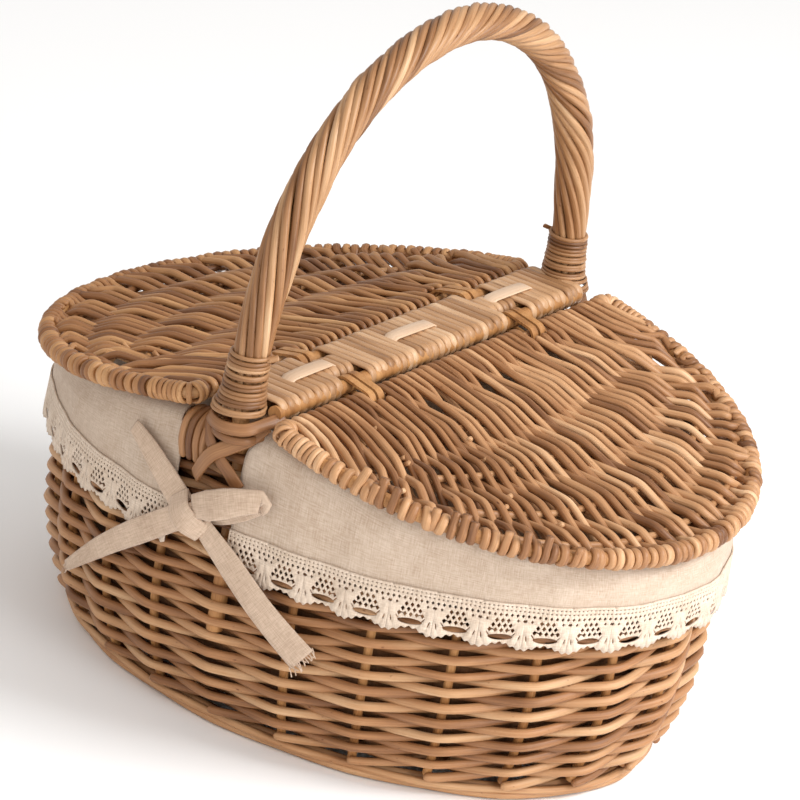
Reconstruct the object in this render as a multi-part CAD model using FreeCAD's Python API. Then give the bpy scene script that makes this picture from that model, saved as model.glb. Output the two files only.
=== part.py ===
import FreeCAD, Part
import os
from math import cos, pi, sin, sqrt

# Oval wicker picnic basket with a fixed twisted handle, a fixed bridge across the
# mouth and two woven lids that hinge on the bridge.
# Frame: millimetres, +Z up, origin on the ground under the middle of the base.
# X runs along the basket, from the left lid (-X) to the right lid (+X).
# Y runs across it, from the front handle foot (-Y) to the back handle foot (+Y).

V = FreeCAD.Vector
UP = V(0, 0, 1)

# ---- body ----
RIM_HALF_LENGTH = 193.0
RIM_HALF_WIDTH = 144.5
BASE_CURVE_HEIGHT = 75.0
BASE_CURVE_RADIUS = 155.0
BOWL_LEVELS = (20.0, 35.0, 50.0, 64.0, BASE_CURVE_HEIGHT, 86.0, 102.0, 124.0, 148.0, 168.0)
WALL = 12.0
WALL_BOTTOM = 8.0
STAKE_COUNT = 24
STAKE_RADIUS = 2.4
RIM_TOP = 176.0
RIM_RADIUS = 5.8
SADDLE_SLOPE = 0.216
SADDLE_ROUND = 20.0
BASE_THICKNESS = 9.0
STAKE_START = 10.5
BASE_STICK_RADIUS = 2.0
BASE_STICK_PITCH = 27.0
FOOT_WIDTH = 14.0

# ---- lining ----
CLOTH = 1.5
BAG_GAP = 1.0
SKIRT_GAP = 2.6
SKIRT_BOTTOM = 119.0
LACE_BOTTOM = 98.0
LACE_THICKNESS = 0.8
SKIRT_SLIT_FROM = -33.0
SKIRT_SLIT_TO = 7.0
RIBBON_WIDTH = 14.0
RIBBON_THICKNESS = 1.2

# ---- handle ----
HANDLE_FOOT_Y = 147.0
HANDLE_FOOT_Z = 186.0
LEG_ARC_RADIUS = 274.0
TOP_ARC_RADIUS = 142.0
TOP_ARC_CENTRE_Z = 222.0
CORE_RADIUS = 4.4
CORE_END_Z = 60.0
STRANDS = 10
STRAND_RADIUS = 2.1
STRAND_RING = 7.3
BINDING_BOTTOM = 185.5
BINDING_TOP = 212.5
BINDING_RADIUS_BOTTOM = 13.0
BINDING_RADIUS_TOP = 12.0

# ---- bridge ----
HINGE_X = 15.5
HINGE_Z = 187.3
RAIL_RADIUS = 4.0
BRIDGE_HALF_WIDTH = 19.5
BRIDGE_HALF_HEIGHT = 6.3
BRIDGE_HALF_LENGTH = 147.0
HINGE_Y = 75.0
NOTCH_LENGTH = 17.0

# ---- lids ----
LID_TILT = 12.2
LID_EDGE = 7.6
LID_TIP = 190.0
LID_HALF_WIDTH = 156.0
LID_CORNER = 9.0
HOOP_RADIUS = 3.5
HOOP_WRAP_RADIUS = 5.7
HOOP_FIT = 0.15
EDGE_ROD_RADIUS = 3.4
LID_WEAVE_THICKNESS = 7.0
LID_RIB_RADIUS = 2.2
LID_RIB_BOWS = (16.0, 49.0, 89.0, 129.0, 160.0)
LID_RIB_END_Y = 134.0
LID_RIB_END_SHARE = 0.35
LID_RIB_END_MIN = 12.2
LOOP_THICKNESS = 1.4
LOOP_WIDTH = 5.0


# ---- shared helpers ----
def half_length(z):
    """Half length of the wall's outer oval at height z; an arc turns the wall in to the base."""
    drop = max(0.0, BASE_CURVE_HEIGHT - z)
    return RIM_HALF_LENGTH - BASE_CURVE_RADIUS + sqrt(BASE_CURVE_RADIUS ** 2 - drop ** 2)


def half_width(z):
    """Half width of the wall's outer oval at height z."""
    return half_length(z) - (RIM_HALF_LENGTH - RIM_HALF_WIDTH)


def rim_height(x):
    """Height of the saddle-shaped rim at a place along the basket."""
    return RIM_TOP - SADDLE_SLOPE * (sqrt(x * x + SADDLE_ROUND ** 2) - SADDLE_ROUND)


def oval_wire(offset, z):
    oval = Part.Ellipse(V(0, 0, z), half_length(z) + offset, half_width(z) + offset)
    return Part.Wire([oval.toShape()])


def bowl(offset, z_low, z_high):
    """Solid inside the wall's outer surface moved out by offset."""
    levels = [z for z in BOWL_LEVELS if z_low + 4 < z < z_high - 4]
    wires = [oval_wire(offset, z) for z in [z_low] + levels + [z_high]]
    return Part.makeLoft(wires, True)


def under_saddle(drop):
    """Everything lower than the rim's saddle, which is moved down by drop."""
    reach = 230.0
    xs = [reach * i / 8.0 for i in range(-8, 9)]
    curve = Part.BSplineCurve()
    curve.interpolate([V(x, -reach, rim_height(x) - drop) for x in xs])
    first = V(-reach, -reach, rim_height(-reach) - drop)
    last = V(reach, -reach, rim_height(reach) - drop)
    floor = Part.makePolygon([last, V(reach, -reach, -20), V(-reach, -reach, -20), first])
    wire = Part.Wire([curve.toShape()] + floor.Edges)
    return Part.Face(wire).extrude(V(0, 2 * reach, 0))


def rod(edges, radius):
    """Round rod along joined lines and arcs."""
    path = Part.Wire(edges)
    first = path.OrderedEdges[0]
    start = path.OrderedVertexes[0].Point
    ring = Part.Wire([Part.makeCircle(radius, start, first.tangentAt(first.getParameterByLength(0)))])
    return path.makePipeShell([ring], True, False)


def line(start, end):
    return Part.LineSegment(start, end).toShape()


def arc(start, middle, end):
    return Part.Arc(start, middle, end).toShape()


def straight_rod(start, end, radius):
    return Part.makeCylinder(radius, (end - start).Length, start, end - start)


def block(x, y, z):
    """Box from (low, high) pairs."""
    return Part.makeBox(x[1] - x[0], y[1] - y[0], z[1] - z[0], V(x[0], y[0], z[0]))


def turned(shape):
    """Copy turned half a turn about the basket's middle."""
    copy = shape.copy()
    copy.rotate(V(0, 0, 0), UP, 180)
    return copy


def mirrored(shape):
    """Copy mirrored to the other end of the basket."""
    return shape.mirror(V(0, 0, 0), V(1, 0, 0))


# ---- base, wall and rim ----
def build_base():
    """Long sticks lie on cross sticks, and the base weave is worked round both."""
    a = half_length(WALL_BOTTOM) - WALL - 0.4
    b = half_width(WALL_BOTTOM) - WALL - 0.4
    oval = Part.Ellipse(V(0, 0, WALL_BOTTOM), a, b)
    slab = Part.Face(Part.Wire([oval.toShape()])).extrude(V(0, 0, BASE_THICKNESS))
    middle = WALL_BOTTOM + BASE_THICKNESS / 2
    long_sticks = []
    for i in range(-3, 4):
        y = BASE_STICK_PITCH * i
        x = (a - 3) * sqrt(1 - (y / b) ** 2)
        z = middle + BASE_STICK_RADIUS + 0.1
        long_sticks.append(straight_rod(V(-x, y, z), V(x, y, z), BASE_STICK_RADIUS))
    cross_sticks = []
    for i in range(-5, 6):
        x = BASE_STICK_PITCH * i
        y = (b - 3) * sqrt(1 - (x / a) ** 2)
        z = middle - BASE_STICK_RADIUS - 0.1
        cross_sticks.append(straight_rod(V(x, -y, z), V(x, y, z), BASE_STICK_RADIUS))
    return {
        "base_weave": slab,
        "base_long_sticks": Part.Compound(long_sticks),
        "base_cross_sticks": Part.Compound(cross_sticks),
    }


def build_foot():
    top = WALL_BOTTOM - 0.2
    outer = Part.makeLoft([oval_wire(-1.0, 0.0), oval_wire(0.0, 3.5), oval_wire(-0.5, top)], True)
    inner = Part.makeLoft([oval_wire(-FOOT_WIDTH, 0.0), oval_wire(-FOOT_WIDTH - 4, top)], True)
    return {"foot_border": outer.cut(inner)}


def stake_angles():
    """Oval angles of the stakes, evenly spaced along the wall."""
    steps = 3600
    lengths = [0.0]
    for i in range(steps):
        t = 2 * pi * (i + 0.5) / steps
        step = sqrt((RIM_HALF_LENGTH * sin(t)) ** 2 + (RIM_HALF_WIDTH * cos(t)) ** 2)
        lengths.append(lengths[-1] + step)
    angles = []
    index = 0
    for stake in range(STAKE_COUNT):
        while lengths[index] < lengths[-1] * stake / STAKE_COUNT:
            index += 1
        angles.append(2 * pi * index / steps)
    return angles


def stake(angle, z_low, z_high):
    """Rod in the middle of the wall: an arc up from the base, then straight up."""
    def place(z):
        x = (half_length(z) - WALL / 2) * cos(angle)
        y = (half_width(z) - WALL / 2) * sin(angle)
        return V(x, y, z)
    bend_top = BASE_CURVE_HEIGHT
    bend = arc(place(z_low), place((z_low + bend_top) / 2), place(bend_top))
    return rod([bend, line(place(bend_top), place(z_high))], STAKE_RADIUS)


def build_wall():
    """Weave worked round the stakes; the two ends of the handle bow replace two stakes."""
    whole = bowl(0.0, WALL_BOTTOM, RIM_TOP + 4).cut(bowl(-WALL, WALL_BOTTOM - 2, RIM_TOP + 6))
    wall = whole.common(under_saddle(2 * RIM_RADIUS + 0.6))
    stakes = []
    for angle in stake_angles():
        if abs(cos(angle)) < 0.02:
            continue
        x = (RIM_HALF_LENGTH - WALL / 2) * cos(angle)
        top = rim_height(x) - 2 * RIM_RADIUS - 1.6
        stakes.append(stake(angle, STAKE_START, top))
    return {"side_weave": wall, "side_stakes": Part.Compound(stakes)}


def build_rim():
    """Two half rims that meet the handle legs."""
    a = RIM_HALF_LENGTH - WALL / 2
    b = RIM_HALF_WIDTH - WALL / 2
    gap = 0.04
    steps = 14
    rings = []
    for i in range(steps + 1):
        t = -pi / 2 + gap + (pi - 2 * gap) * i / steps
        x = a * cos(t)
        centre = V(x, b * sin(t), rim_height(x) - RIM_RADIUS - 0.2)
        climb = SADDLE_SLOPE * x / sqrt(x * x + SADDLE_ROUND ** 2) * a * sin(t)
        rings.append(Part.Wire([Part.makeCircle(RIM_RADIUS, centre, V(-a * sin(t), b * cos(t), climb))]))
    right = Part.makeLoft(rings, True)
    return {"rim_border": Part.Compound([right, turned(right)])}


# ---- lining ----
def build_liner_bag():
    outside = -WALL - BAG_GAP
    low = WALL_BOTTOM + BASE_THICKNESS + 0.3
    outer = bowl(outside, low, RIM_TOP + 6)
    inner = bowl(outside - CLOTH, low + CLOTH, RIM_TOP + 8)
    return {"liner_bag": outer.cut(inner).common(under_saddle(0.0))}


def skirt_shell():
    """Cloth that folds over the rim and hangs outside the wall."""
    outer = bowl(SKIRT_GAP + CLOTH, SKIRT_BOTTOM, RIM_TOP + 6).common(under_saddle(-0.4 - CLOTH))
    inner = bowl(SKIRT_GAP, SKIRT_BOTTOM - 4, RIM_TOP + 6).common(under_saddle(-0.4))
    mouth = bowl(-WALL - BAG_GAP - CLOTH, SKIRT_BOTTOM - 4, RIM_TOP + 8)
    return outer.cut(inner).cut(mouth)


def lace_shell():
    outside = SKIRT_GAP + CLOTH + 0.1
    outer = bowl(outside + LACE_THICKNESS, LACE_BOTTOM, SKIRT_BOTTOM + 4)
    inner = bowl(outside, LACE_BOTTOM - 4, SKIRT_BOTTOM + 8)
    return outer.cut(inner)


def build_skirt():
    """The skirt and its lace come in two halves, open at both handle feet."""
    reach = 230.0
    height = (LACE_BOTTOM - 10, RIM_TOP + 10)
    left_box = block((-reach, SKIRT_SLIT_FROM), (-reach, 0), height)
    left_box = left_box.fuse(block((-reach, -SKIRT_SLIT_TO), (0, reach), height))
    right_box = turned(left_box)
    shapes = {}
    for name, shell in (("liner_skirt", skirt_shell()), ("lace", lace_shell())):
        shapes[name + "_left"] = shell.common(left_box)
        shapes[name + "_right"] = shell.common(right_box)
    return shapes


def wall_point(x, z, proud):
    """Point on the front wall, standing proud of it."""
    a = half_length(z) + proud
    b = half_width(z) + proud
    return V(x, -b * sqrt(1 - (x / a) ** 2), z)


def ribbon(places):
    """Flat ribbon along places (x, z, proud) on the front wall."""
    points = [wall_point(*place) for place in places]
    wires = []
    for i, point in enumerate(points):
        before = points[max(i - 1, 0)]
        after = points[min(i + 1, len(points) - 1)]
        outward = V(point.x / RIM_HALF_LENGTH ** 2, point.y / RIM_HALF_WIDTH ** 2, 0).normalize()
        across = (after - before).cross(outward).normalize() * (RIBBON_WIDTH / 2)
        lift = outward * RIBBON_THICKNESS
        corners = [point - across, point + across, point + across + lift, point - across + lift]
        wires.append(Part.makePolygon(corners + corners[:1]))
    return Part.makeLoft(wires, True, True)


def build_ties():
    """A tie ribbon, knotted in a half bow over each slit of the skirt."""
    strap = ribbon([(-62, 150, 6), (-44, 141, 8), (-22, 129, 9)])
    tail_left = ribbon([(-24, 116, 8), (-60, 89, 8), (-102, 52, 7)])
    tail_right = ribbon([(-8, 120, 9), (20, 94, 7), (51, 68, 5)])
    loop_front = ribbon([(-10, 129, 13), (6, 138, 14), (21, 147, 10)])
    loop_back = ribbon([(-10, 126, 7), (6, 130, 7), (21, 141, 7)])
    knot = Part.makeSphere(8.5, wall_point(-16, 124, 10))
    front = Part.Compound([knot.multiFuse([strap, tail_left, tail_right, loop_front]), loop_back])
    return {"tie_front": front, "tie_back": turned(front)}


# ---- handle ----
def arch(ring, across):
    """Arch of arcs, moved out by ring and sideways by across."""
    foot = V(across, -(HANDLE_FOOT_Y + ring), HANDLE_FOOT_Z)
    leg_centre = HANDLE_FOOT_Y - LEG_ARC_RADIUS
    rise = TOP_ARC_CENTRE_Z - HANDLE_FOOT_Z
    reach = sqrt(leg_centre ** 2 + rise ** 2)
    lean_y = -leg_centre / reach
    lean_z = rise / reach
    leg = LEG_ARC_RADIUS + ring
    top = TOP_ARC_RADIUS + ring
    half_y = sqrt((1 + lean_y) / 2)
    half_z = sqrt((1 - lean_y) / 2)
    shoulder = V(across, -top * lean_y, TOP_ARC_CENTRE_Z + top * lean_z)
    leg_middle = V(across, -(leg_centre + leg * half_y), HANDLE_FOOT_Z + leg * half_z)
    crown = V(across, 0, TOP_ARC_CENTRE_Z + top)
    far_shoulder = V(across, -shoulder.y, shoulder.z)
    front_leg = arc(foot, leg_middle, shoulder)
    back_leg = arc(far_shoulder, V(across, -leg_middle.y, leg_middle.z), V(across, -foot.y, foot.z))
    return [front_leg, arc(shoulder, crown, far_shoulder), back_leg]


def core_end(side):
    """End of the bow, from the foot of the arch down into the wall."""
    knee_low = V(0, side * (RIM_HALF_WIDTH - WALL / 2), 160)
    knee_high = V(0, side * HANDLE_FOOT_Y, HANDLE_FOOT_Z)
    end = V(0, knee_low.y, CORE_END_Z)
    slant = straight_rod(knee_low, knee_high, CORE_RADIUS)
    pieces = [slant, Part.makeSphere(CORE_RADIUS, knee_low), Part.makeSphere(CORE_RADIUS, knee_high)]
    return straight_rod(end, knee_low, CORE_RADIUS).multiFuse(pieces)


def build_handle():
    """Core bow with a ring of thinner rods round it."""
    core = rod(arch(0, 0), CORE_RADIUS).multiFuse([core_end(-1), core_end(1)])
    strands = []
    for k in range(STRANDS):
        angle = 2 * pi * k / STRANDS
        path = arch(STRAND_RING * sin(angle), STRAND_RING * cos(angle))
        strands.append(rod(path, STRAND_RADIUS))
    return {"handle_core": core, "handle_twist_rods": Part.Compound(strands)}


def build_bindings():
    """Skein wound round each foot of the handle, wider at the bottom."""
    height = BINDING_TOP - BINDING_BOTTOM
    place = V(0, -HANDLE_FOOT_Y, BINDING_BOTTOM)
    cone = Part.makeCone(BINDING_RADIUS_BOTTOM, BINDING_RADIUS_TOP, height, place)
    lean = LEG_ARC_RADIUS - sqrt(LEG_ARC_RADIUS ** 2 - (BINDING_TOP - HANDLE_FOOT_Z) ** 2)
    room = STRAND_RING + STRAND_RADIUS + lean + 0.15
    front = cone.cut(Part.makeCylinder(room, height + 2, place - UP))
    return {"handle_binding_front": front, "handle_binding_back": turned(front)}


def build_lashings():
    """Crossed flat skeins that tie the handle foot to the rim."""
    width = 8.5
    reach = 17.0
    low = 153.0
    high = 181.0
    depth = 1.6
    y = -(RIM_HALF_WIDTH + 5.2)
    strips = []
    for side in (-1, 1):
        corners = [V(-side * reach, y, low), V(side * (reach - 8), y, high)]
        along = (corners[1] - corners[0]).normalize()
        across = V(along.z, 0, -along.x) * (width / 2)
        outline = [corners[0] - across, corners[0] + across, corners[1] + across, corners[1] - across]
        strips.append(Part.Face(Part.makePolygon(outline + outline[:1])).extrude(V(0, -depth, 0)))
    front = strips[0].fuse(strips[1])
    return {"handle_lashing_front": front, "handle_lashing_back": turned(front)}


# ---- bridge ----
def build_bridge():
    """Fixed flat bar across the mouth; each lid's loops go round its edge rail."""
    rail_end = HANDLE_FOOT_Y - BINDING_RADIUS_BOTTOM + 5
    rails = []
    bores = []
    for side in (-1, 1):
        start = V(side * HINGE_X, -rail_end, HINGE_Z)
        rails.append(straight_rod(start, V(start.x, rail_end, HINGE_Z), RAIL_RADIUS))
        bore = V(start.x, -rail_end - 0.5, HINGE_Z)
        bores.append(straight_rod(bore, V(bore.x, rail_end + 0.5, HINGE_Z), RAIL_RADIUS + 0.15))
    low = HINGE_Z - BRIDGE_HALF_HEIGHT
    high = HINGE_Z + BRIDGE_HALF_HEIGHT
    half = BRIDGE_HALF_WIDTH
    wrap = block((-half, half), (-BRIDGE_HALF_LENGTH, BRIDGE_HALF_LENGTH), (low, high))
    long_edges = [e for e in wrap.Edges if abs(e.tangentAt(0).y) > 0.9]
    wrap = wrap.makeFillet(4.0, long_edges)
    slat_end = rail_end - 8
    slats = [block((x - 3, x + 3), (-slat_end, slat_end), (HINGE_Z - 1.5, HINGE_Z + 1.5))
             for x in (-3.6, 3.6)]
    slat_room = block((-7, 7), (-slat_end - 0.5, slat_end + 0.5), (HINGE_Z - 1.8, HINGE_Z + 1.8))
    notches = []
    for x in ((-half - 1, -8.5), (8.5, half + 1)):
        for middle in (-HINGE_Y, HINGE_Y):
            span = (middle - NOTCH_LENGTH / 2, middle + NOTCH_LENGTH / 2)
            notches.append(block(x, span, (low - 1, high + 1)))
    ends = [Part.makeCylinder(BINDING_RADIUS_BOTTOM + 0.4, 40, V(0, side * HANDLE_FOOT_Y, low - 5))
            for side in (-1, 1)]
    strips = []
    for middle in (-92.0, 0.0, 92.0):
        strips.append(block((-4.5, 4.5), (middle - 20, middle + 20), (high + 0.1, high + 1.1)))
    return {
        "bridge_rails": Part.Compound(rails),
        "bridge_slats": Part.Compound(slats),
        "bridge_wrap": wrap.cut(Part.Compound(bores + [slat_room] + notches + ends)),
        "bridge_strips": Part.Compound(strips),
    }


# ---- lids, drawn flat from the hinge axis and then tilted ----
def lid_outline(inset, corner):
    """Closed D outline, moved in by inset: hinge edge, corners, short sides and a half circle."""
    edge = LID_EDGE + inset
    half = LID_HALF_WIDTH - inset
    bow = LID_TIP - LID_HALF_WIDTH
    turn = corner * (1 - sqrt(0.5))
    return [
        line(V(edge, half - corner, 0), V(edge, corner - half, 0)),
        arc(V(edge, corner - half, 0), V(edge + turn, turn - half, 0), V(edge + corner, -half, 0)),
        line(V(edge + corner, -half, 0), V(bow, -half, 0)),
        arc(V(bow, -half, 0), V(bow + half, 0, 0), V(bow, half, 0)),
        line(V(bow, half, 0), V(edge + corner, half, 0)),
        arc(V(edge + corner, half, 0), V(edge + turn, half - turn, 0), V(edge, half - corner, 0)),
    ]


def lid_slab():
    """Flat D-shaped slab that the weaving fills."""
    edge = LID_EDGE + HOOP_WRAP_RADIUS + EDGE_ROD_RADIUS + 0.4
    half = LID_HALF_WIDTH - 2 * HOOP_WRAP_RADIUS - 0.3
    face = Part.Face(Part.Wire(lid_outline(2 * HOOP_WRAP_RADIUS + 0.3, 4.0)))
    room = block((edge, LID_TIP), (-half, half), (-LID_WEAVE_THICKNESS, LID_WEAVE_THICKNESS))
    slab = face.extrude(V(0, 0, LID_WEAVE_THICKNESS))
    slab.translate(V(0, 0, -LID_WEAVE_THICKNESS / 2))
    return slab.common(room)


def lid_ribs():
    """Bowed ribs; the further from the hinge, the rounder."""
    ribs = []
    for bow in LID_RIB_BOWS:
        end = LID_EDGE + max(LID_RIB_END_MIN, bow * LID_RIB_END_SHARE)
        middle = V(LID_EDGE + bow, 0, 0)
        path = arc(V(end, -LID_RIB_END_Y, 0), middle, V(end, LID_RIB_END_Y, 0))
        ribs.append(rod([path], LID_RIB_RADIUS))
    return Part.Compound(ribs)


def hinge_loop(y):
    """Flat band round the bridge rail and the lid's edge rod."""
    edge = LID_EDGE + HOOP_WRAP_RADIUS
    def racetrack(radius):
        discs = Part.makeCylinder(radius, LOOP_WIDTH, V(0, y, 0), V(0, 1, 0))
        discs = discs.fuse(Part.makeCylinder(radius, LOOP_WIDTH, V(edge, y, 0), V(0, 1, 0)))
        return discs.fuse(block((0, edge), (y, y + LOOP_WIDTH), (-radius, radius)))
    inner = RAIL_RADIUS + 0.4
    return racetrack(inner + LOOP_THICKNESS).cut(racetrack(inner))


def build_lid():
    """Flat lid, hinge axis along Y through the origin."""
    edge = LID_EDGE + HOOP_WRAP_RADIUS
    half = LID_HALF_WIDTH - HOOP_WRAP_RADIUS - LID_CORNER - 1
    pockets = []
    loops = []
    for middle in (-HINGE_Y, HINGE_Y):
        span = (middle - NOTCH_LENGTH / 2 + 1, middle + NOTCH_LENGTH / 2 - 1)
        pockets.append(block((0, edge + 7), span, (-10, 10)))
        loops += [hinge_loop(middle - LOOP_WIDTH - 1), hinge_loop(middle + 1)]
    bow_edges = lid_outline(HOOP_WRAP_RADIUS, LID_CORNER)[1:]
    hoop = rod(bow_edges, HOOP_RADIUS)
    wrap = rod(bow_edges, HOOP_WRAP_RADIUS).cut(rod(bow_edges, HOOP_RADIUS + HOOP_FIT))
    return {
        "hoop": hoop,
        "hoop_wrap": wrap,
        "edge_rod": straight_rod(V(edge, -half, 0), V(edge, half, 0), EDGE_ROD_RADIUS),
        "ribs": lid_ribs(),
        "weave": lid_slab().cut(Part.Compound(pockets)),
        "hinge_loops": Part.Compound(loops),
    }


def build_lids():
    shapes = {}
    for name, shape in build_lid().items():
        placed = shape.copy()
        placed.rotate(V(0, 0, 0), V(0, 1, 0), LID_TILT)
        placed.translate(V(HINGE_X, 0, HINGE_Z))
        shapes["lid_right_" + name] = placed
        shapes["lid_left_" + name] = mirrored(placed)
    return shapes


def build_all():
    builders = (build_base, build_foot, build_wall, build_rim, build_liner_bag, build_skirt,
                build_ties, build_handle, build_bindings, build_lashings, build_bridge,
                build_lids)
    shapes = {}
    for builder in builders:
        shapes.update(builder())
    return shapes


os.makedirs("parts", exist_ok=True)
for node, shape in build_all().items():
    shape.exportStep(os.path.join("parts", node + ".step"))
    print(node, "solids", len(shape.Solids), "valid", shape.isValid(), "volume", round(shape.Volume))
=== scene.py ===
import math
import bpy
import numpy as np
from mathutils import Matrix, Vector
from mathutils.geometry import delaunay_2d_cdt


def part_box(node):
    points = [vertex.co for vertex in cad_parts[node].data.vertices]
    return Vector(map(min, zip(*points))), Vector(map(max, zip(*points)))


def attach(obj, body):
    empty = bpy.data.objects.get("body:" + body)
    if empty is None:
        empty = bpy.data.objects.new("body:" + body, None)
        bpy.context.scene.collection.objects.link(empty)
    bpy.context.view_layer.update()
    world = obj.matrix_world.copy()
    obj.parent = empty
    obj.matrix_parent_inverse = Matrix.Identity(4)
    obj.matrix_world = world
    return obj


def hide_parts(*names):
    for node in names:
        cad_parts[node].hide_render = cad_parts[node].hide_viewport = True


# Wicker picnic basket: willow walls, lids and handle, linen lining with a lace edge.
# Shapes are in millimetres in the part's own frame and become metres in their meshes;
# bump depths, floor, lamps and camera are in metres.

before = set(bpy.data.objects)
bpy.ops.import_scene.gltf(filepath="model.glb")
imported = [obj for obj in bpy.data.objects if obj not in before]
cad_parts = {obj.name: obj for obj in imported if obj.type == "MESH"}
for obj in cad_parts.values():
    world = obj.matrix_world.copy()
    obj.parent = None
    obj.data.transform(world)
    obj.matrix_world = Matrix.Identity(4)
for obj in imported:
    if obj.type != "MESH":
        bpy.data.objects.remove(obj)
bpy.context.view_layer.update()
rng = np.random.default_rng(21)
MM = 0.001
TURN = 2 * np.pi
join = np.concatenate


def mm_box(*nodes):
    lows = [np.array(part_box(n)[0]) / MM for n in nodes]
    highs = [np.array(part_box(n)[1]) / MM for n in nodes]
    return np.min(lows, axis=0), np.max(highs, axis=0)


def unit(vectors):
    return vectors / np.linalg.norm(vectors, axis=-1, keepdims=True)


def travel_along(path):
    """Length from the start of a path to each of its points."""
    return join([[0], np.cumsum(np.linalg.norm(np.diff(path, axis=0), axis=1))])


def add_to_scene(name, data):
    thing = bpy.data.objects.new(name, data)
    bpy.context.scene.collection.objects.link(thing)
    return thing


# ---- sizes: from the part's boxes where they give them, otherwise the part's own driving sizes ----
LACE_STAND_OFF = 5.0
RIM_A = mm_box("lace_left", "lace_right")[1][0] - LACE_STAND_OFF
WIDTH_STEP = 48.5
WALL = 12.0
BEND_Z, BEND_R = 75.0, 155.0
RIM_TOP, RIM_BORDER = 176.0, 6.0
SADDLE_SLOPE, SADDLE_ROUND = 0.216, 20.0
STAKES = 24

HINGE_X, HINGE_Y, HINGE_Z = 15.5, 75.0, 187.3
TILT = math.radians(12.2)
EDGE_U, WRAP_R = 7.6, 5.7
LID_BOX = mm_box("lid_right_hoop_wrap")
LID_HALF = LID_BOX[1][1]
LID_TIP = (LID_BOX[1][0] - HINGE_X - WRAP_R) / math.cos(TILT) + WRAP_R
HOOP_HALF = LID_HALF - WRAP_R
HOOP_BOW = LID_TIP - LID_HALF

SKIRT_Z, LACE_Z, LACE_HEIGHT = 119.0, 98.0, 25.0
LACE_REPEAT_WIDTH = 22.3
SLIT_FROM, SLIT_TO, SLIT_CORNER = -33.0, 7.0, 16.0

FOOT_Y, FOOT_Z = 147.0, 186.0
LEG_R, TOP_R, TOP_Z = 274.0, 142.0, 222.0
BIND_LOW, BIND_HIGH = (corner[2] for corner in mm_box("handle_binding_front"))
BIND_RADII = ([0, 0.12, 0.3, 0.6, 1], [13.6, 12.9, 11.2, 10.4, 9.8])
HANDLE_RODS, HANDLE_ROD_SIZE = 12, 4.5
HANDLE_PITCH = ([0, 0.12, 0.24, 0.4, 0.72, 0.86, 1.0], [420, 240, 140, 100, 98, 190, 320])
HANDLE_FLARE = ([0, 0.05, 0.1, 0.2, 0.27], [6.8, 7.0, 7.9, 8.7, 7.6])


# ---- basket surfaces ----
def half_length(z):
    drop = np.maximum(0.0, BEND_Z - np.asarray(z, float))
    return RIM_A - BEND_R + np.sqrt(BEND_R ** 2 - drop ** 2)


def saddle(x):
    return RIM_TOP - SADDLE_SLOPE * (np.sqrt(x * x + SADDLE_ROUND ** 2) - SADDLE_ROUND)


ARC_T = np.linspace(0, TURN, 4001)
ARC_MID = (ARC_T[1:] + ARC_T[:-1]) / 2
ARC_STEP = np.hypot(RIM_A * np.sin(ARC_MID), (RIM_A - WIDTH_STEP) * np.cos(ARC_MID)) * ARC_T[1]
ARC_S = join([[0], np.cumsum(ARC_STEP)])
GIRTH = ARC_S[-1]


def oval_angle(length):
    """Oval angle at a length along the wall; whole turns are kept."""
    turns = np.floor(np.asarray(length) / GIRTH)
    return np.interp(length - turns * GIRTH, ARC_S, ARC_T) + TURN * turns


def oval_length(angle):
    turns = np.floor(np.asarray(angle) / TURN)
    return np.interp(angle - turns * TURN, ARC_T, ARC_S) + GIRTH * turns


def on_wall(angle, z, out):
    """Points and outward normals at out from the wall's outer surface."""
    angle, z, out = np.broadcast_arrays(np.asarray(angle, float), z, out)
    a = half_length(z)
    b = a - WIDTH_STEP
    normal = unit(np.stack([b * np.cos(angle), a * np.sin(angle), np.zeros_like(a)], -1))
    base = np.stack([a * np.cos(angle), b * np.sin(angle), z], -1)
    return base + normal * out[..., None], normal


def on_front(x, z, out):
    """The same for places along the front wall."""
    return on_wall(-np.pi / 2 + np.arcsin(x / half_length(z)), z, out)


def lid_place(side, u, y, n):
    """Lid coordinates (out from the hinge, along the hinge, up from the lid) to the frame."""
    x = HINGE_X + u * math.cos(TILT) + n * math.sin(TILT)
    z = HINGE_Z - u * math.sin(TILT) + n * math.cos(TILT)
    return np.stack(np.broadcast_arrays(side * x, y, z), -1)


def lid_normal(side):
    return np.array([side * math.sin(TILT), 0, math.cos(TILT)])


def wobble(count, waves, size):
    """Slow random wave over count places."""
    knots = rng.normal(0, size, waves + 2)
    return np.interp(np.linspace(0, waves + 1, count), np.arange(waves + 2), knots)


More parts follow.
